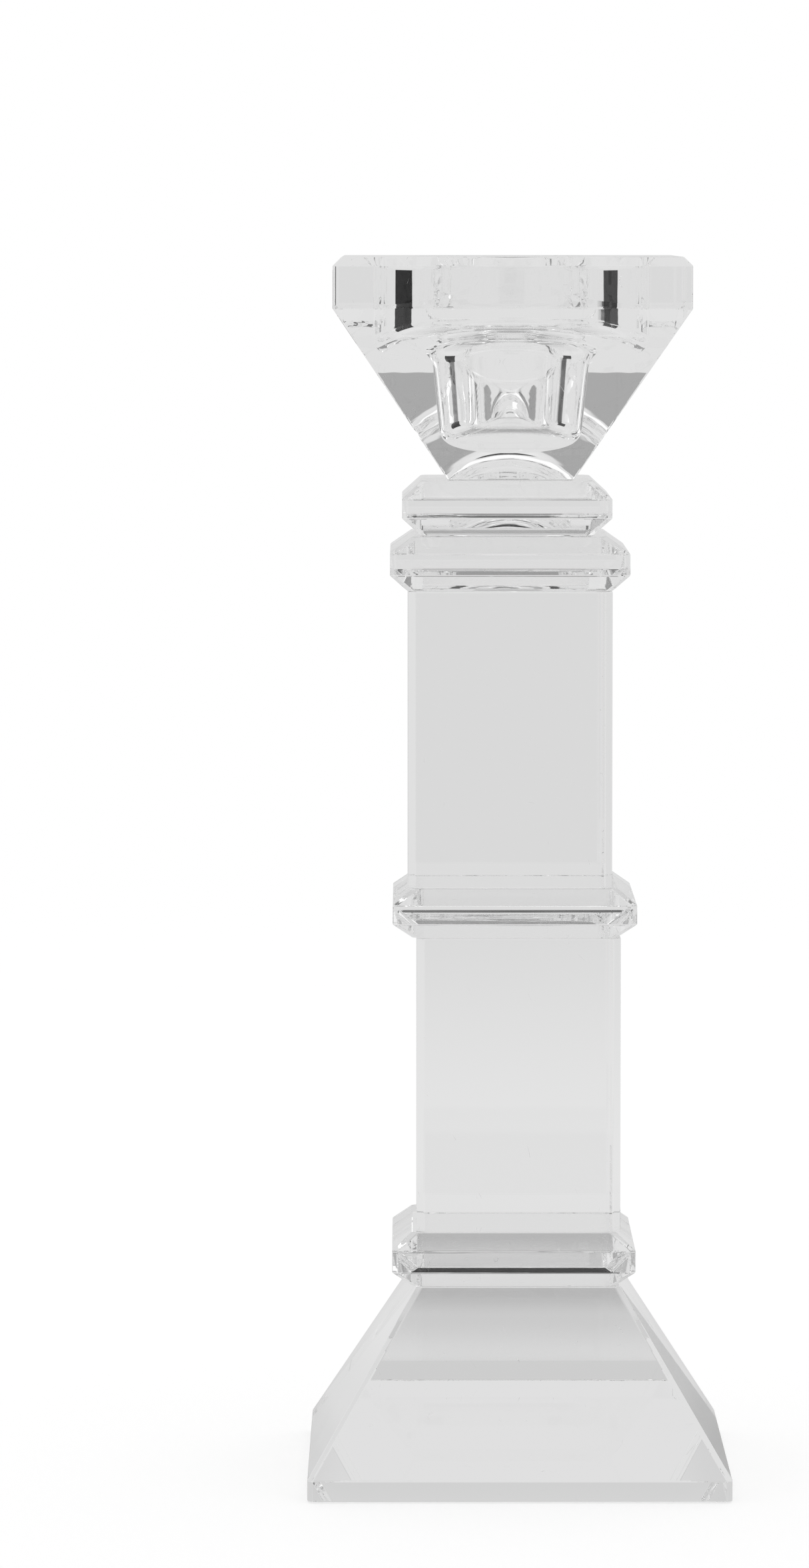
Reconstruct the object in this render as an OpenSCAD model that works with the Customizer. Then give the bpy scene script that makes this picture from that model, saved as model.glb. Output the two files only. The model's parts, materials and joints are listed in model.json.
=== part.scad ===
// Candlestick glued up from solid clear crystal blocks.
// Eight ground and polished blocks stand one on another, with a thin film of
// adhesive between each pair. Origin: centre of the underside of the base.

/* [Base] */
// Width of the square base across its foot
base_w = 61.2; // [48:0.2:80]
// Height of the upright band at the foot of the base
base_band_h = 3.1; // [1:0.1:8]
// Height of the sloping part of the base above the band
base_slope_h = 25.7; // [12:0.1:40]

/* [Columns] */
// Width of the square columns
column_w = 29.7; // [22:0.1:36]
// Height of the lower column
lower_column_h = 42.9; // [20:0.1:80]
// Height of the upper column
upper_column_h = 43; // [20:0.1:80]
// Width of the flats ground along the upright edges of the columns
column_arris = 1.1; // [0.4:0.1:2]

/* [Collars] */
// How far a collar stands out beyond the faces of the columns
collar_reach = 2.85; // [1.5:0.05:6]
// Height of the lower collar's upright band
lower_collar_band_h = 3.4; // [1:0.1:6]
// Height of each bevel of the lower collar
lower_collar_bevel_h = 2.25; // [1:0.05:5]
// Height of the middle collar's upright band
middle_collar_band_h = 3; // [1:0.1:6]
// Height of each bevel of the middle collar
middle_collar_bevel_h = 2.1; // [1:0.05:5]

/* [Capital] */
// How far the capital stands out beyond the faces of the column
capital_reach = 2.5; // [1.5:0.05:6]
// Height of the capital's upright band
capital_band_h = 3.3; // [1:0.1:6]
// Height of each bevel of the capital
capital_bevel_h = 2.25; // [1:0.05:5]
// How far the capital's top face is set in from its band
capital_top_inset = 3.2; // [1:0.1:4.5]

/* [Neck plate] */
// Width of the neck plate across its band
neck_w = 30.4; // [26:0.2:36]
// Height of the neck plate's upright band
neck_band_h = 2.95; // [1:0.05:6]
// Height of each bevel of the neck plate
neck_bevel_h = 2.5; // [1:0.05:5]
// How far the neck plate's flat faces are set in from its band
neck_inset = 2.75; // [1:0.05:4.5]

/* [Candle cup] */
// Diameter of the wide recess that holds a tealight
tealight_d = 40.1; // [39.2:0.1:48]
// Depth of the tealight recess below the rim
tealight_depth = 9.5; // [6:0.1:14]
// Diameter of the narrow socket that holds a taper candle
taper_d = 22.3; // [20:0.1:27]
// Depth of the taper socket below the floor of the recess
taper_depth = 15; // [11:0.1:22]
// Thickness of the glass beside the recess, in the middle of a side
rim_wall = 5.65; // [3:0.05:10]
// Thickness of the solid glass under the taper socket
cup_floor = 7.8; // [4:0.1:14]
// Height of the upright band round the rim
rim_band_h = 7.4; // [4:0.1:9]
// Width of the cup's flat foot
cup_foot_w = 18.4; // [14:0.1:24]
// Height of the bevel round the top of the rim
rim_bevel = 1.25; // [0.4:0.05:2]

/* [Edges] */
// Width of the flats ground along the corners of the base, collars and cup
corner_arris = 0.7; // [0.3:0.1:1.4]
// Radius of the rounded lip and recess edge inside the cup
cavity_round = 0.8; // [0.4:0.1:1.5]
// Radius of the rounded edge round the floor of the taper socket
floor_round = 1.6; // [0.5:0.1:3]

/* [Glue-up] */
// Thickness of the adhesive film in each joint
film_t = 0.1; // [0.06:0.02:0.4]
// How far the adhesive stops short of the edge of a joint
film_margin = 0.25; // [0:0.05:1]
// Sideways offset of the lower collar on the base
lower_collar_shift = -0.7; // [-2:0.05:2]
// Sideways offset of the lower column on the base
lower_column_shift = 0; // [-2:0.05:2]
// Sideways offset of the middle collar on the base
middle_collar_shift = -0.6; // [-2:0.05:2]
// Sideways offset of the upper column on the base
upper_column_shift = -1.3; // [-2:0.05:2]
// Sideways offset of the capital on the base
capital_shift = -1.35; // [-2:0.05:2]
// Sideways offset of the neck plate on the base
neck_shift = -1.75; // [-2.5:0.05:2.5]
// Sideways offset of the candle cup on the base
cup_shift = -1.15; // [-2:0.05:2]

/* [Hidden] */

// Roundness of the cup's cavities
cavity_fn = 96;
// How much narrower the taper socket is at its floor than at its mouth
taper_draft = 1.7;
// Height of the drafted stretch at the bottom of the taper socket
draft_h = 5.5;
// Extra length of a cut beyond the face that it leaves
cut = 1;

crystal = [0.87, 0.89, 0.9];
bond_tint = [0.94, 0.95, 0.93];

// Outlines: half width and height of each ground edge, from the bottom up
base_outline = [
    [base_w / 2, 0],
    [base_w / 2, base_band_h],
    [column_w / 2, base_band_h + base_slope_h]
];
column_half = column_w / 2;
lower_collar_outline = plate_outline(column_half, column_half + collar_reach,
    column_half, lower_collar_bevel_h, lower_collar_band_h);
middle_collar_outline = plate_outline(column_half, column_half + collar_reach,
    column_half, middle_collar_bevel_h, middle_collar_band_h);
capital_band_half = column_half + capital_reach;
capital_outline = plate_outline(column_half, capital_band_half,
    capital_band_half - capital_top_inset, capital_bevel_h, capital_band_h);
neck_face_half = neck_w / 2 - neck_inset;
neck_outline = plate_outline(neck_face_half, neck_w / 2, neck_face_half,
    neck_bevel_h, neck_band_h);
lower_column_outline = [[column_half, 0], [column_half, lower_column_h]];
upper_column_outline = [[column_half, 0], [column_half, upper_column_h]];

cup_half = tealight_d / 2 + rim_wall;
cup_h = cup_floor + taper_depth + tealight_depth;
cup_outline = [
    [cup_foot_w / 2, 0],
    [cup_half, cup_h - rim_band_h],
    [cup_half, cup_h - rim_bevel],
    [cup_half - rim_bevel, cup_h]
];
taper_floor_z = cup_floor;
recess_floor_z = cup_floor + taper_depth;

// Heights of the blocks' undersides, each one film above the block below
lower_collar_z = height(base_outline) + film_t;
lower_column_z = lower_collar_z + height(lower_collar_outline) + film_t;
middle_collar_z = lower_column_z + lower_column_h + film_t;
upper_column_z = middle_collar_z + height(middle_collar_outline) + film_t;
capital_z = upper_column_z + upper_column_h + film_t;
neck_z = capital_z + height(capital_outline) + film_t;
cup_z = neck_z + height(neck_outline) + film_t;

// A plate with an upright band between a lower and an upper bevel
function plate_outline(foot, band, top, bevel_h, band_h) = [
    [foot, 0], [band, bevel_h], [band, bevel_h + band_h],
    [top, 2 * bevel_h + band_h]
];
function height(outline) = outline[len(outline) - 1][1];
function foot_half(outline) = outline[0][0];
function top_half(outline) = outline[len(outline) - 1][0];

// The outline seen across a corner, once the corner is ground to a flat
function across_corner(outline, arris) = [
    for (p = outline) [(2 * p[0] - arris) / sqrt(2), p[1]]
];

// A long bar with the outline as its cross-section, lying along Y
module bar(outline) {
    reach = 4 * max([for (p = outline) p[0]]);
    mirrored = [for (i = [len(outline) - 1:-1:0]) [-outline[i][0], outline[i][1]]];
    rotate([90, 0, 0])
        linear_extrude(height = reach, center = true)
            polygon(concat(outline, mirrored));
}

// A square block with mitred bevels and flats along its corners
module ground_block(outline, arris) {
    intersection() {
        bar(outline);
        rotate([0, 0, 90]) bar(outline);
        rotate([0, 0, 45]) bar(across_corner(outline, arris));
        rotate([0, 0, -45]) bar(across_corner(outline, arris));
    }
}

// A film of adhesive between two faces, as wide as they both reach, with its
// corners cut back like the blocks above and below it
module bond(lower_half, lower_x, upper_half, upper_x, z, arris) {
    low = max(lower_x - lower_half, upper_x - upper_half) + film_margin;
    high = min(lower_x + lower_half, upper_x + upper_half) - film_margin;
    depth = 2 * (min(lower_half, upper_half) - film_margin);
    across = (high - low + depth - 2 * arris) / sqrt(2);
    color(bond_tint)
        translate([(low + high) / 2, 0, z - film_t / 2])
            intersection() {
                cube([high - low, depth, film_t], center = true);
                rotate([0, 0, 45]) cube([across, across, film_t], center = true);
            }
}

// Half of the cavity's cross-section: socket, lip, recess and rim
module cavity_section() {
    socket_r = taper_d / 2;
    floor_r = socket_r - taper_draft / 2;
    recess_r = tealight_d / 2;
    r = cavity_round;
    quarter = [for (i = [0:6]) i * 15];
    polygon(concat(
        [[0, taper_floor_z]],
        [for (a = quarter) [floor_r - floor_round * (1 - sin(a)),
            taper_floor_z + floor_round * (1 - cos(a))]],
        [[socket_r, taper_floor_z + draft_h]],
        [for (a = quarter) [socket_r + r * (1 - cos(a)), recess_floor_z - r * (1 - sin(a))]],
        [for (a = quarter) [recess_r - r * (1 - sin(a)), recess_floor_z + r * (1 - cos(a))]],
        [[recess_r, cup_h + cut], [0, cup_h + cut]]
    ));
}

module base_block() {
    color(crystal) ground_block(base_outline, corner_arris);
}

module base_bond() {
    bond(top_half(base_outline), 0, foot_half(lower_collar_outline),
        lower_collar_shift, lower_collar_z, corner_arris);
}

module lower_collar() {
    color(crystal)
        translate([lower_collar_shift, 0, lower_collar_z])
            ground_block(lower_collar_outline, corner_arris);
}

module lower_column_foot_bond() {
    bond(top_half(lower_collar_outline), lower_collar_shift, column_half,
        lower_column_shift, lower_column_z, column_arris);
}

module lower_column() {
    color(crystal)
        translate([lower_column_shift, 0, lower_column_z])
            ground_block(lower_column_outline, column_arris);
}

module lower_column_head_bond() {
    bond(column_half, lower_column_shift, foot_half(middle_collar_outline),
        middle_collar_shift, middle_collar_z, column_arris);
}

module middle_collar() {
    color(crystal)
        translate([middle_collar_shift, 0, middle_collar_z])
            ground_block(middle_collar_outline, corner_arris);
}

module upper_column_foot_bond() {
    bond(top_half(middle_collar_outline), middle_collar_shift, column_half,
        upper_column_shift, upper_column_z, column_arris);
}

module upper_column() {
    color(crystal)
        translate([upper_column_shift, 0, upper_column_z])
            ground_block(upper_column_outline, column_arris);
}

module upper_column_head_bond() {
    bond(column_half, upper_column_shift, foot_half(capital_outline),
        capital_shift, capital_z, column_arris);
}

module capital() {
    color(crystal)
        translate([capital_shift, 0, capital_z])
            ground_block(capital_outline, corner_arris);
}

module neck_bond() {
    bond(top_half(capital_outline), capital_shift, foot_half(neck_outline),
        neck_shift, neck_z, corner_arris);
}

module neck_plate() {
    color(crystal)
        translate([neck_shift, 0, neck_z])
            ground_block(neck_outline, corner_arris);
}

module cup_bond() {
    bond(top_half(neck_outline), neck_shift, foot_half(cup_outline),
        cup_shift, cup_z, corner_arris);
}

module candle_cup() {
    color(crystal)
        translate([cup_shift, 0, cup_z])
            difference() {
                ground_block(cup_outline, corner_arris);
                rotate_extrude($fn = cavity_fn) cavity_section();
            }
}

base_block();
base_bond();
lower_collar();
lower_column_foot_bond();
lower_column();
lower_column_head_bond();
middle_collar();
upper_column_foot_bond();
upper_column();
upper_column_head_bond();
capital();
neck_bond();
neck_plate();
cup_bond();
candle_cup();
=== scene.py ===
import json
import math

import bmesh
import bpy
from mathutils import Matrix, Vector

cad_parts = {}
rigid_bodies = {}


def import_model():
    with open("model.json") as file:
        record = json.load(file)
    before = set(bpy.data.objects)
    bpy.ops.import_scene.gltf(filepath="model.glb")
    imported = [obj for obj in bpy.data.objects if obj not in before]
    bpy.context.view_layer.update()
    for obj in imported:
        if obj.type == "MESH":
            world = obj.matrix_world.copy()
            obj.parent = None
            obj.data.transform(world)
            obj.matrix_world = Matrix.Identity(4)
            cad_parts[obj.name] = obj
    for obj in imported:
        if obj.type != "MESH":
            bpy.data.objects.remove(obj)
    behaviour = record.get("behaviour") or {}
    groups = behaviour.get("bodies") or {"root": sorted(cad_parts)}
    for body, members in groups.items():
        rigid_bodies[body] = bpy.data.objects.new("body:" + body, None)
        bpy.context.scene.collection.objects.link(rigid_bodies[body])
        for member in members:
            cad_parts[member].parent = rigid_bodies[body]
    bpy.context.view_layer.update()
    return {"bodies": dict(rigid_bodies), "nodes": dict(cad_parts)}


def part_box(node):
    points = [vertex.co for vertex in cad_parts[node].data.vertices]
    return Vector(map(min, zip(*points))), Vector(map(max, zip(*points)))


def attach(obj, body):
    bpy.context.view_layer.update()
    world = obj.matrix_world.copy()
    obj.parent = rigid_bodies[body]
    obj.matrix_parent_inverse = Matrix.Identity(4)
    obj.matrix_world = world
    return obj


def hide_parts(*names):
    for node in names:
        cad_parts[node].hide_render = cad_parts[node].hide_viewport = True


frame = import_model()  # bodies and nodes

mm = 0.001
body = "root" if "root" in frame["bodies"] else next(iter(frame["bodies"]))
tiny = 1e-6  # metres, for telling levels apart
weld = 1e-7  # metres, for merging doubles
white = (1.0, 1.0, 1.0, 1.0)


# shader maths: a wrapped socket that turns expressions into Math nodes
class Sock:
    def __init__(self, shader, socket):
        self.shader, self.socket = shader, socket

    def maths(self, operation, *others):
        inputs = dict(enumerate((self, *others)))
        return self.shader.out("ShaderNodeMath", {"operation": operation}, inputs)

    def __add__(self, other):
        return self.maths("ADD", other)

    __radd__ = __add__

    def __sub__(self, other):
        return self.maths("SUBTRACT", other)

    def __rsub__(self, other):
        return (self * -1).maths("ADD", other)

    def __mul__(self, other):
        return self.maths("MULTIPLY", other)

    __rmul__ = __mul__

    def __truediv__(self, other):
        return self.maths("DIVIDE", other)

    def __abs__(self):
        return self.maths("ABSOLUTE")


class Shader:
    def __init__(self, owner):
        owner.use_nodes = True
        self.tree = owner.node_tree
        self.tree.nodes.clear()

    # one node: its settings first, then the values or links of its sockets
    def node(self, kind, settings=None, inputs=None):
        made = self.tree.nodes.new(kind)
        for key, value in (settings or {}).items():
            setattr(made, key, value)
        for key, value in (inputs or {}).items():
            target = made.inputs[key]
            if isinstance(value, Sock):
                self.tree.links.new(value.socket, target)
            elif isinstance(value, bpy.types.NodeSocket):
                self.tree.links.new(value, target)
            else:
                target.default_value = value
        return made

    def out(self, kind, settings=None, inputs=None, output=0):
        return Sock(self, self.node(kind, settings, inputs).outputs[output])

    # smooth step from 0 at low to 1 at high
    def rise(self, value, low, high):
        settings = {"interpolation_type": "SMOOTHSTEP", "clamp": True}
        return self.out("ShaderNodeMapRange", settings, {0: value, 1: low, 2: high})

    # 1 between low and high, fading over soft outside them
    def band(self, value, low, high, soft):
        return self.rise(value, low - soft, low) * (1 - self.rise(value, high, high + soft))

    def axes(self, vector):
        split = self.node("ShaderNodeSeparateXYZ", None, {0: vector})
        return [Sock(self, split.outputs[i]) for i in range(3)]

    def vector(self, x, y, z):
        return self.out("ShaderNodeCombineXYZ", None, {0: x, 1: y, 2: z})

    def noise(self, vector, scale, detail=2.0):
        inputs = {"Vector": vector, "Scale": scale, "Detail": detail}
        return self.out("ShaderNodeTexNoise", {"noise_dimensions": "3D"}, inputs, "Fac")

    # distance to the nearest cell's middle, and a random number for each cell
    def cells(self, vector, scale):
        inputs = {"Vector": vector, "Scale": scale}
        made = self.node("ShaderNodeTexVoronoi", {"feature": "F1"}, inputs)
        return Sock(self, made.outputs["Distance"]), self.axes(made.outputs["Color"])[0]

    def spot(self):
        return self.node("ShaderNodeTexCoord").outputs["Object"]

    def mix(self, factor, first, second):
        return self.out("ShaderNodeMixShader", None, {0: factor, 1: first, 2: second})

    def surface(self, closure, output="ShaderNodeOutputMaterial"):
        self.node(output, None, {"Surface": closure})


def newMaterial(name):
    material = bpy.data.materials.new(name)
    return material, Shader(material)


# the glass itself, the same in every block
crystal = {
    "ior": 1.517,
    "colour": white,
    "scar": (0.93, 0.93, 0.93, 1.0),  # ground-white glass in scratches and chips
    "scarRoughness": 0.6,
}
# waves and streaks are (across, along, height) in mm; a face is scratched where a noise
# is above "scratch", and "speck" is the share of cells with a speck in them
polish = {
    "crystalFlat": {
        "wave": (14, 14, 0.0016), "streak": (2, 9, 0.00003), "scratch": 0.68, "speck": 0.03},
    "crystalBevel": {
        "wave": (1.3, 24, 0.008), "streak": (0.35, 9, 0.0011), "scratch": 0.6, "speck": 0.05},
    "crystalEdge": {
        "wave": (0.5, 4, 0.001), "streak": (0.2, 5, 0.0002), "scratch": 0.55, "speck": 0.2},
}
# lengths in mm; "drift" is how many rings they wander by
lathe = {
    "ring": 2.1,
    "height": 0.0012,
    "drift": 1.4,
    "driftScale": 60,
    "patchScale": 150,
    "ripple": 4.0,
    "rippleHeight": 0.008,
    "scratch": 0.6,
    "speck": 0.06,
}
# hair scratches; "hair" is half a scratch's width, in noise, where it is full and gone
marks = {
    "scale": 340,
    "slant": (0.35, -0.2, 0.3),
    "hair": (0.0012, 0.0032),
    "soft": 0.05,
    "cover": 0.4,
}
# dust and pin bubbles, one at most in each cell
dust = {"scale": 170, "size": (0.008, 0.016), "soft": 0.01}


def glass(shader, normal=None):
    inputs = {
        "Base Color": crystal["colour"],
        "Roughness": 0.0,
        "IOR": crystal["ior"],
        "Transmission Weight": 1.0,
    }
    if normal is not None:
        inputs["Normal"] = normal
    return shader.out("ShaderNodeBsdfPrincipled", None, inputs)


def scarred(shader, clear, mark):
    inputs = {"Base Color": crystal["scar"], "Roughness": crystal["scarRoughness"]}
    return shader.mix(mark, clear, shader.out("ShaderNodeBsdfPrincipled", None, inputs))


def bump(shader, height):
    return shader.out("ShaderNodeBump", None, {"Strength": 1.0, "Distance": mm, "Height": height})


# thin lines where a noise crosses its middle, kept only where a second noise is high
def scratches(shader, x, y, z, amount):
    alongX, alongY, alongZ = marks["slant"]
    drift = shader.vector(x + z * alongX, y + z * alongY, z * alongZ)
    line = abs(shader.noise(drift, marks["scale"], 0) - 0.5)
    where = shader.noise(shader.vector(y, z, x), marks["scale"], 1)
    hair = 1 - shader.rise(line, *marks["hair"])
    return hair * shader.rise(where, amount, amount + marks["soft"]) * marks["cover"]


def specks(shader, spot, amount):
    distance, chance = shader.cells(spot, dust["scale"])
    speck = 1 - shader.rise(distance, *dust["size"])
    return speck * (1 - shader.rise(chance, amount, amount + dust["soft"]))


def polishedMaterial(name):
    look = polish[name]
    material, shader = newMaterial(name)
    spot = shader.spot()
    x, y, z = shader.axes(spot)
    height = 0
    for across, along, depth in (look["wave"], look["streak"]):
        drawn = shader.vector(x / (along * mm), y / (along * mm), z / (across * mm))
        height = shader.noise(drawn, 1, 1) * depth + height
    normal = bump(shader, height)
    mark = scratches(shader, x, y, z, look["scratch"])
    mark = mark.maths("MAXIMUM", specks(shader, spot, look["speck"]))
    shader.surface(scarred(shader, glass(shader, normal), mark))
    return material


# the turned hollow: rings from the tool, slow ripples from the polishing mop
def turnedMaterial(name, node):
    material, shader = newMaterial(name)
    spot = shader.spot()
    centre = place(node)
    x, y, z = shader.axes(spot)
    x, y = x - centre.x, y - centre.y
    run = (x * x + y * y).maths("SQRT") + z
    drift = shader.noise(spot, lathe["driftScale"], 1) * lathe["drift"]
    ring = (run * (math.tau / (lathe["ring"] * mm)) + drift * math.tau).maths("SINE")
    ring = ring * shader.noise(spot, lathe["patchScale"], 1)
    ripple = shader.noise(spot, 1 / (lathe["ripple"] * mm), 1)
    normal = bump(shader, ring * lathe["height"] + ripple * lathe["rippleHeight"])
    mark = specks(shader, spot, lathe["speck"])
    mark = mark.maths("MAXIMUM", scratches(shader, z, x, y, lathe["scratch"]))
    shader.surface(scarred(shader, glass(shader, normal), mark))
    return material


def place(node):
    low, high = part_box(node)
    return Vector(((low.x + high.x) / 2, (low.y + high.y) / 2, low.z))


def heightOf(node):
    low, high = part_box(node)
    return high.z - low.z


def halfWidth(node):
    low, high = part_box(node)
    return (high.y - low.y) / 2


# clear adhesive between two blocks: the light passes straight through where it has wetted
# both faces, glances off it at a very flat angle because it is a little less dense than
# the glass, and meets bare glass in the bubbles and along the starved rim
glue = {
    "rim": 0.12 * mm,
    "rimSoft": 0.02 * mm,
    "wander": 0.5 * mm,
    "wanderScale": 230,
    "corner": 1.86,  # below 2 leaves the corners of the joint dry
    "bubbles": 0.07,  # share of cells with a bubble
    "bubbleScale": 260,
    "bubbleSize": 0.3,  # of a cell
    "haze": 0.06,
    "hazeReach": 2 * mm,
    "roughness": 0.35,
    "tint": (0.99, 0.99, 0.99, 1.0),
    "step": 1.018,  # refractive index of the glass over that of the adhesive
}


# how far out each spot of a joint lies, and how far out the adhesive ends
def jointReach(shader, film):
    low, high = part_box(film)
    spot = shader.spot()
    x, y, _ = shader.axes(spot)
    x = abs(x - (low.x + high.x) / 2)
    y = abs(y - (low.y + high.y) / 2)
    wander = (shader.noise(spot, glue["wanderScale"], 2) - 0.5) * glue["wander"]
    reach = x.maths("MAXIMUM", y).maths("MAXIMUM", (x + y) / glue["corner"]) + wander
    return spot, reach, (high.y - low.y) / 2 - glue["rim"]


def throughGlue(shader):
    return shader.out("ShaderNodeBsdfTransparent", None, {"Color": glue["tint"]})


# the face of a block where a film meets it
def bondedMaterial(film):
    material, shader = newMaterial(film.replace("_bond", "Joint").replace("_", ""))
    spot, reach, end = jointReach(shader, film)
    distance, chance = shader.cells(spot, glue["bubbleScale"])
    size = (1 - shader.rise(chance, 0, glue["bubbles"])) * glue["bubbleSize"]
    bubble = distance.maths("LESS_THAN", size)
    wet = (1 - shader.rise(reach, end - glue["rimSoft"], end + glue["rimSoft"])) * (1 - bubble)
    mirror = {"Base Color": white, "Metallic": 1.0, "Roughness": 0.0}
    glance = shader.out("ShaderNodeBsdfPrincipled", None, mirror)
    grazing = shader.out("ShaderNodeFresnel", None, {"IOR": glue["step"]})
    bond = shader.mix(grazing, throughGlue(shader), glance)
    shader.surface(shader.mix(wet, glass(shader), bond))
    return material


# the film itself, a little hazy towards its edge
def filmMaterial(film):
    material, shader = newMaterial(film.replace("_bond", "Adhesive").replace("_", ""))
    _, reach, end = jointReach(shader, film)
    haze = shader.rise(reach, end - glue["hazeReach"], end) * glue["haze"]
    inputs = {"Base Color": glue["tint"], "Roughness": glue["roughness"],
              "IOR": crystal["ior"], "Transmission Weight": 1.0}
    cured = shader.out("ShaderNodeBsdfPrincipled", None, inputs)
    shader.surface(shader.mix(haze, throughGlue(shader), cured))
    return material


films = [node for node in frame["nodes"] if node.endswith("_bond")]
flatFace, bevelFace, edgeFace = [polishedMaterial(name) for name in polish]
turnedFace = turnedMaterial("crystalTurned", "candle_cup")
jointFaces = {film: bondedMaterial(film) for film in films}
print("materials made:", len(bpy.data.materials))

columnHalf = halfWidth("lower_column")
# how the blocks are cut; a slope less than "narrow" tall gets the bevel finish
grinding = {
    "hip": 0.7 * mm,
    "edge": 0.15 * mm,
    "sharp": 8,  # degrees; edges above it are rounded
    "narrow": 4 * mm,
}
# the slots of every block's mesh, and the upright share of a bevel's and a joint's normal
slots = {"flat": 0, "bevel": 1, "edge": 2, "turned": 3, "below": 4, "above": 5}
lean = {"bevel": (0.1, 0.99), "joint": 0.999}


# a square block drawn up from its foot through (half width, level) steps, its hips ground
def groundBlock(levels, hip):
    bm = bmesh.new()
    lastHalf, lastLevel = levels[0]
    bmesh.ops.create_grid(bm, x_segments=1, y_segments=1, size=lastHalf)
    bottom = top = bm.faces[:][0]
    for half, level in levels[1:]:
        made = bmesh.ops.extrude_face_region(bm, geom=[top])["geom"]
        if top != bottom:
            bmesh.ops.delete(bm, geom=[top], context="FACES_ONLY")
        verts = [part for part in made if isinstance(part, bmesh.types.BMVert)]
        top = next(part for part in made if isinstance(part, bmesh.types.BMFace))
        bmesh.ops.translate(bm, verts=verts, vec=(0, 0, level - lastLevel))
        bmesh.ops.scale(bm, verts=verts, vec=(half / lastHalf, half / lastHalf, 1))
        lastHalf, lastLevel = half, level
    bmesh.ops.recalc_face_normals(bm, faces=bm.faces[:])
    hips = [e for e in bm.edges if abs(e.verts[0].co.z - e.verts[1].co.z) > tiny]
    bmesh.ops.bevel(bm, geom=hips, offset=hip, offset_type="OFFSET", segments=1,
                    profile=0.5, affect="EDGES", material=-1)
    bmesh.ops.recalc_face_normals(bm, faces=bm.faces[:])
    return bm


def roundEdges(bm, edgeRound):
    sharp = [e for e in bm.edges if e.calc_face_angle(0) > math.radians(grinding["sharp"])]
    made = bmesh.ops.bevel(bm, geom=sharp, offset=edgeRound, offset_type="OFFSET", segments=2,
                           profile=0.5, affect="EDGES", material=-1, clamp_overlap=True)
    for face in made["faces"]:
        face.material_index = slots["edge"]


# the slot of one face; below and above name the films that the block meets
def slotOf(face, ceiling, below, above):
    level, upright = face.calc_center_median().z, abs(face.normal.z)
    if face.smooth:
        return slots["turned"]
    if below and upright > lean["joint"] and abs(level) < tiny:
        return slots["below"]
    if above and upright > lean["joint"] and abs(level - ceiling) < tiny:
        return slots["above"]
    if face.material_index == slots["edge"]:
        return slots["edge"]
    levels = [vert.co.z for vert in face.verts]
    narrow = max(levels) - min(levels) < grinding["narrow"]
    low, high = lean["bevel"]
    return slots["bevel"] if narrow and low < upright < high else slots["flat"]


# moves a block to its place and gives it its materials and its body
def finishPiece(bm, name, node, below=None, above=None):
    ceiling = heightOf(node)
    for face in bm.faces:
        face.material_index = slotOf(face, ceiling, below, above)
    bmesh.ops.translate(bm, verts=bm.verts[:], vec=place(node))
    mesh = bpy.data.meshes.new(name)
    bm.to_mesh(mesh)
    bm.free()
    piece = bpy.data.objects.new(name, mesh)
    bpy.context.scene.collection.objects.link(piece)
    joints = [jointFaces.get(below, flatFace), jointFaces.get(above, flatFace)]
    for material in [flatFace, bevelFace, edgeFace, turnedFace, *joints]:
        mesh.materials.append(material)
    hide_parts(node)
    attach(piece, body)
    return piece


base = {"band": 3.1 * mm}
baseHalf, baseHeight = halfWidth("base_block"), heightOf("base_block")
baseMesh = groundBlock([(baseHalf, 0), (baseHalf, base["band"]), (columnHalf, baseHeight)],
                       grinding["hip"])
roundEdges(baseMesh, grinding["edge"])
finishPiece(baseMesh, "baseBlock", "base_block", None, "base_bond")
print("base block made")

plates = {
    "lower_collar": {"bevel": 2.25 * mm, "films": ("base_bond", "lower_column_foot_bond")},
    "middle_collar": {"bevel": 2.1 * mm,
                      "films": ("lower_column_head_bond", "upper_column_foot_bond")},
    "capital": {"bevel": 2.25 * mm, "topInset": 3.2 * mm,
                "films": ("upper_column_head_bond", "neck_bond")},
    "neck_plate": {"bevel": 2.5 * mm, "topInset": 2.75 * mm, "footInset": 2.75 * mm,
                   "films": ("neck_bond", "cup_bond")},
}
for node, plate in plates.items():
    half, height = halfWidth(node), heightOf(node)
    foot = half - plate["footInset"] if "footInset" in plate else columnHalf
    top = half - plate["topInset"] if "topInset" in plate else columnHalf
    bm = groundBlock([(foot, 0), (half, plate["bevel"]), (half, height - plate["bevel"]),
                      (top, height)], grinding["hip"])
    roundEdges(bm, grinding["edge"])
    finishPiece(bm, node.replace("_", "") + "Block", node, *plate["films"])
    print(node, "made")

column = {"arris": 1.1 * mm}
for node in ("lower_column", "upper_column"):
    height = heightOf(node)
    bm = groundBlock([(columnHalf, 0), (columnHalf, height)], column["arris"])
    roundEdges(bm, grinding["edge"])
    finishPiece(bm, node.replace("_", "") + "Block", node, node + "_foot_bond",
                node + "_head_bond")
    print(node, "made")

cup = {
    "foot": 9.2 * mm,
    "band": 7.4 * mm,
    "bevel": 1.25 * mm,
    "recessRadius": 20.05 * mm,
    "recessDepth": 9.5 * mm,
    "socketRadius": 11.25 * mm,  # at its mouth; the wall leans in a little towards its floor
    "socketFloorRadius": 10.4 * mm,
    "socketDepth": 24.5 * mm,
    "mouthRound": 3.0 * mm,  # between recess floor and socket
    "recessRound": 2.4 * mm,
    "floorRound": 2.4 * mm,
    "lip": 2.0 * mm,
    "hip": 0.2 * mm,
    "edge": 0.075 * mm,
    "steps": 144,
}


def arc(centreX, centreZ, radius, start, end, count=8):
    for i in range(count + 1):
        a = math.radians(start + (end - start) * i / count)
        yield centreX + radius * math.cos(a), centreZ + radius * math.sin(a)


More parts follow.
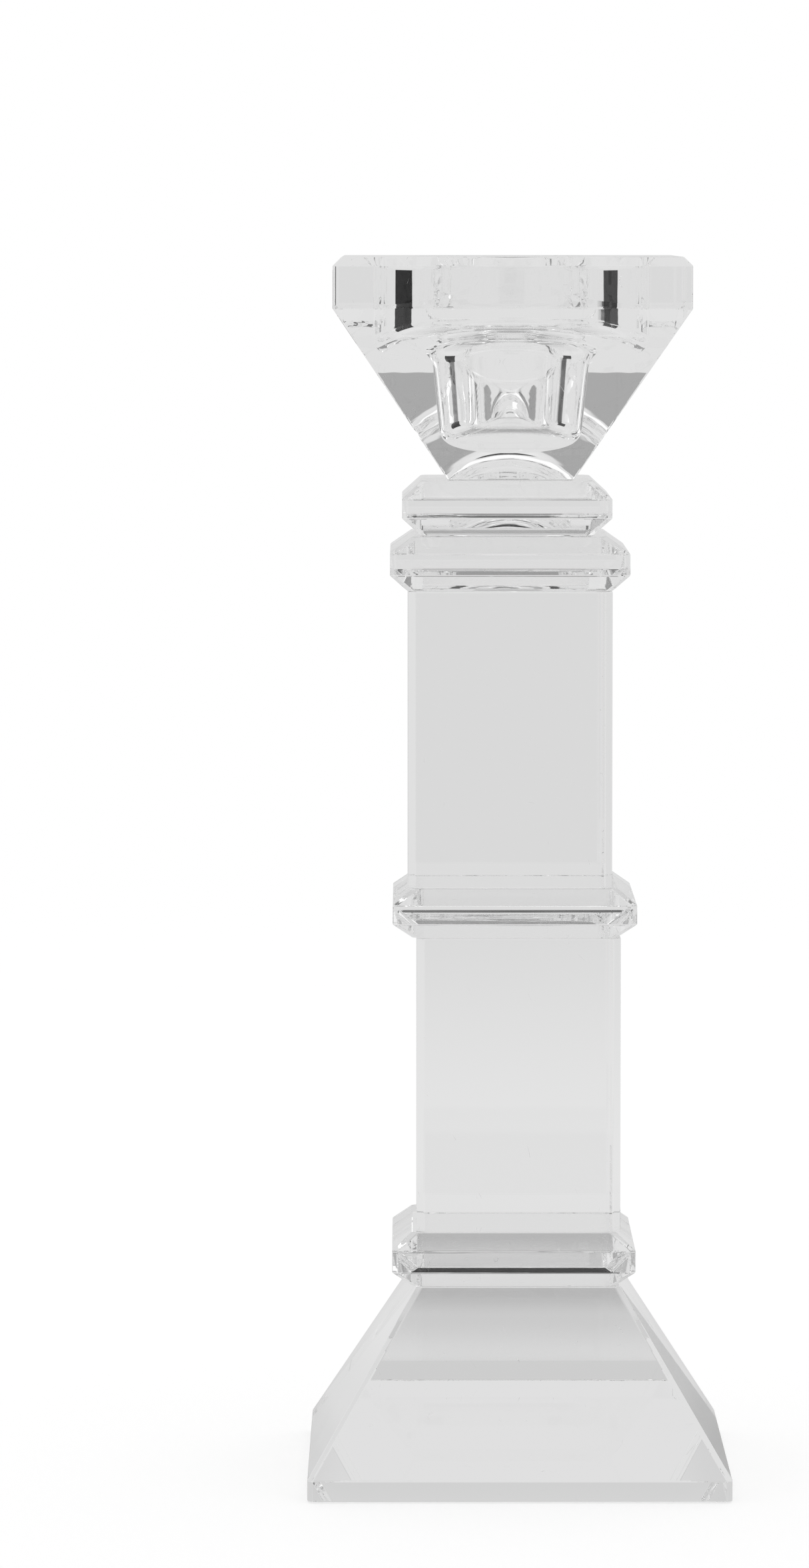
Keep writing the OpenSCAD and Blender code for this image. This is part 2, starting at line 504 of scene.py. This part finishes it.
# the hollow's outline from the middle of its floor out to the rim
def cavityOutline(height):
    floor, recess = height - cup["socketDepth"], height - cup["recessDepth"]
    mouth, corner, sole, lip = cup["mouthRound"], cup["recessRound"], cup["floorRound"], cup["lip"]
    points = [(0, floor)]
    points += arc(cup["socketFloorRadius"] - sole, floor + sole, sole, -90, 0)
    points += arc(cup["socketRadius"] + mouth, recess - mouth, mouth, 180, 90)
    points += arc(cup["recessRadius"] - corner, recess + corner, corner, -90, 0)
    points += arc(cup["recessRadius"] + lip, height - lip, lip, 180, 90)
    return points


def makeCup():
    half, height = halfWidth("candle_cup"), heightOf("candle_cup")
    levels = [(cup["foot"], 0), (half, height - cup["band"]), (half, height - cup["bevel"]),
              (half - cup["bevel"], height)]
    bm = groundBlock(levels, cup["hip"])
    roundEdges(bm, cup["edge"])
    top = max(bm.faces, key=lambda f: f.calc_center_median().z)
    bmesh.ops.delete(bm, geom=[top], context="FACES_ONLY")
    outline = [bm.verts.new((x, 0, z)) for x, z in cavityOutline(height)]
    chain = [bm.edges.new(pair) for pair in zip(outline, outline[1:])]
    bmesh.ops.spin(bm, geom=outline + chain, cent=(0, 0, 0), axis=(0, 0, 1),
                   angle=math.tau, steps=cup["steps"], use_merge=True)
    bmesh.ops.remove_doubles(bm, verts=bm.verts[:], dist=weld)
    rims = [e for e in bm.edges if e.is_boundary]
    bmesh.ops.triangle_fill(bm, use_beauty=True, use_dissolve=False, edges=rims)
    bmesh.ops.recalc_face_normals(bm, faces=bm.faces[:])
    for face in bm.faces:
        centre = face.calc_center_median()
        inside = math.hypot(centre.x, centre.y) < cup["recessRadius"] + cup["lip"]
        face.smooth = inside and centre.z > height - cup["socketDepth"] - tiny
    for edge in bm.edges:
        faces = edge.link_faces
        edge.smooth = len(faces) == 2 and faces[0].smooth == faces[1].smooth
    finishPiece(bm, "candleCup", "candle_cup", "cup_bond")


makeCup()
print("candle cup made")

for film in films:
    item = frame["nodes"][film]
    item.data.materials.clear()
    item.data.materials.append(filmMaterial(film))
print("adhesive films dressed")


# 1 for light that a surface has reflected at least once, 0 for the rest
def reflected(shader, path):
    return Sock(shader, path.outputs["Glossy Depth"]).maths("MINIMUM", 1)


# a pale floor that fades into the backdrop. That is what the camera sees; light on its way
# through the glass finds a glowing sheet there instead, with painted light and shade in its
# brightness
floorLook = {
    "radius": 1000 * mm,
    "segments": 96,
    "fade": (300 * mm, 900 * mm),
    "drop": 0.2 * mm,
    "paper": (0.5, 0.5, 0.5, 1.0),
    "roughness": 0.9,
    "lift": 0.62,  # glow that carries the paper to near white
    # the sheet's brightness against the distance from the middle in mm, painted light and shade:
    # a painted shadow under the base, lighter out to 29 mm, darker at 31.5 mm, lighter further out
    "underGlass": ((0, 0.44), (19, 0.46), (23, 0.59), (29, 0.68), (31.5, 0.60), (60, 0.64),
                   (120, 0.71), (300, 0.78)),
    # painted shade: a dimmer strip of the sheet in front, for reflected light; "keep" is a share
    "apron": {
        "near": -115 * mm,
        "far": -400 * mm,
        "half": 110 * mm,
        "soft": 15 * mm,
        "keep": 0.4,
    },
}


def makeFloor():
    bm = bmesh.new()
    bmesh.ops.create_circle(bm, cap_ends=True, segments=floorLook["segments"],
                            radius=floorLook["radius"])
    bmesh.ops.translate(bm, verts=bm.verts[:], vec=(0, 0, -floorLook["drop"]))
    mesh = bpy.data.meshes.new("floor")
    bm.to_mesh(mesh)
    bm.free()
    floor = bpy.data.objects.new("floor", mesh)
    bpy.context.scene.collection.objects.link(floor)
    material, shader = newMaterial("paleFloor")
    mesh.materials.append(material)
    x, y, _ = shader.axes(shader.spot())
    reach = (x * x + y * y).maths("SQRT")
    square = abs(x).maths("MAXIMUM", abs(y))
    path = shader.node("ShaderNodeLightPath")
    # painted light and shade: the sheet's grey, built from the list by distance from the middle
    grey = floorLook["underGlass"][0][1]
    for (near, low), (far, high) in zip(floorLook["underGlass"], floorLook["underGlass"][1:]):
        grey = shader.rise(square, near * mm, far * mm) * (high - low) + grey
    # painted shade: the sheet is dimmed in this strip in front for reflected light
    apron = floorLook["apron"]
    shade = shader.band(y, apron["far"], apron["near"], apron["soft"])
    shade = shade * shader.band(x, -apron["half"], apron["half"], apron["soft"])
    grey = grey * (1 - shade * reflected(shader, path) * (1 - apron["keep"]))
    sheet = shader.out("ShaderNodeEmission", None, {"Color": grey, "Strength": 1.0})
    inputs = {"Base Color": floorLook["paper"], "Roughness": floorLook["roughness"],
              "Emission Color": white, "Emission Strength": floorLook["lift"]}
    paper = shader.out("ShaderNodeBsdfPrincipled", None, inputs)
    seen = shader.mix(path.outputs["Is Camera Ray"], sheet, paper)
    gone = shader.out("ShaderNodeBsdfTransparent")
    shader.surface(shader.mix(shader.rise(reach, *floorLook["fade"]), seen, gone))


makeFloor()

# the studio: white to the camera, a grey paper sweep to the glass, a little brighter from
# "zenith" up. Each zone is a patch of the sweep, in degrees round from the front and up
# from the horizon, that only reflected light finds; "keep" is its brightness. "within"
# hides one from light that has met that many surfaces, which no real card could do: it
# keeps stray dark squares out of the cup
studio = {
    "sweep": 0.745,
    "zenith": {"elevation": (78, 84), "glow": 0.82},
    "zones": {
        "overhead": {"azimuth": (-60, 60), "elevation": (66, 77), "soft": 2, "keep": 0.37},
        "leftShade": {"azimuth": (-76, -50), "elevation": (46, 70), "soft": 3, "keep": 0.32},
        "rightShade": {"azimuth": (50, 76), "elevation": (46, 70), "soft": 3, "keep": 0.28},
        "leftFlag": {"azimuth": (-127, -93), "elevation": (-8, 30), "soft": 1.5, "keep": 0.0,
                     "within": 5},
        "leftHaze": {"azimuth": (-116, -98), "elevation": (30, 56), "soft": 5, "keep": 0.10},
        "rightFlag": {"azimuth": (80, 104), "elevation": (-8, 15), "soft": 1.5, "keep": 0.04,
                      "within": 5},
        "rightPost": {"azimuth": (70, 88), "elevation": (12, 42), "soft": 3, "keep": 0.08},
        "nearShade": {"azimuth": (-14, 14), "elevation": (-14, -1), "soft": 4, "keep": 0.12},
        "leftSky": {"azimuth": (-180, -108), "elevation": (62, 78), "soft": 3, "keep": 1.08},
        "rightSky": {"azimuth": (82, 180), "elevation": (62, 78), "soft": 3, "keep": 1.08},
        "leftBeam": {"azimuth": (-180, -95), "elevation": (83, 91), "soft": 1.5, "keep": 0.03},
        "rightBeam": {"azimuth": (95, 180), "elevation": (83, 91), "soft": 1.5, "keep": 0.03},
        "backLamp": {"azimuth": (148, 166), "elevation": (44, 56), "soft": 2, "keep": 1.8},
    },
}


def makeStudio():
    world = bpy.data.worlds.new("studio")
    bpy.context.scene.world = world
    shader = Shader(world)
    x, y, z = shader.axes(shader.node("ShaderNodeTexCoord").outputs["Generated"])
    azimuth = x.maths("ARCTAN2", y * -1) * math.degrees(1)
    elevation = z.maths("ARCSINE") * math.degrees(1)
    path = shader.node("ShaderNodeLightPath")
    turned = reflected(shader, path)
    met = Sock(shader, path.outputs["Ray Depth"])
    sweep, zenith = studio["sweep"], studio["zenith"]
    glow = shader.rise(elevation, *zenith["elevation"]) * (zenith["glow"] - sweep) + sweep
    for zone in studio["zones"].values():
        shade = shader.band(azimuth, *zone["azimuth"], zone["soft"])
        shade = shade * shader.band(elevation, *zone["elevation"], zone["soft"]) * turned
        if "within" in zone:
            shade = shade * met.maths("LESS_THAN", zone["within"])
        glow = glow * (1 - shade * (1 - zone["keep"] / sweep))
    grey = shader.out("ShaderNodeBackground", None, {"Color": glow, "Strength": 1.0})
    clear = shader.out("ShaderNodeBackground", None, {"Color": white, "Strength": 1.0})
    shader.surface(shader.mix(path.outputs["Is Camera Ray"], grey, clear),
                   "ShaderNodeOutputWorld")


makeStudio()
print("studio made")

view = {
    "side": -16.6 * mm,
    "distance": 1022 * mm,
    "height": 184.2 * mm,
    "tilt": 4.646,  # degrees down
    "sensor": 36,
    "lens": 160.14,
}


def makeCamera():
    data = bpy.data.cameras.new("camera")
    camera = bpy.data.objects.new("camera", data)
    bpy.context.scene.collection.objects.link(camera)
    data.lens = view["lens"]
    data.sensor_width = view["sensor"]
    camera.location = (view["side"], -view["distance"], view["height"])
    camera.rotation_euler = (math.radians(90 - view["tilt"]), 0, 0)
    bpy.context.scene.camera = camera


makeCamera()
# light crosses many faces in a stack of clear blocks
bounces = {"all": 32, "transparent": 64}
cycles = bpy.context.scene.cycles
cycles.max_bounces = bounces["all"]
cycles.transmission_bounces = bounces["all"]
cycles.glossy_bounces = bounces["all"]
cycles.transparent_max_bounces = bounces["transparent"]
bpy.context.scene.view_settings.view_transform = "Standard"
print("camera made")
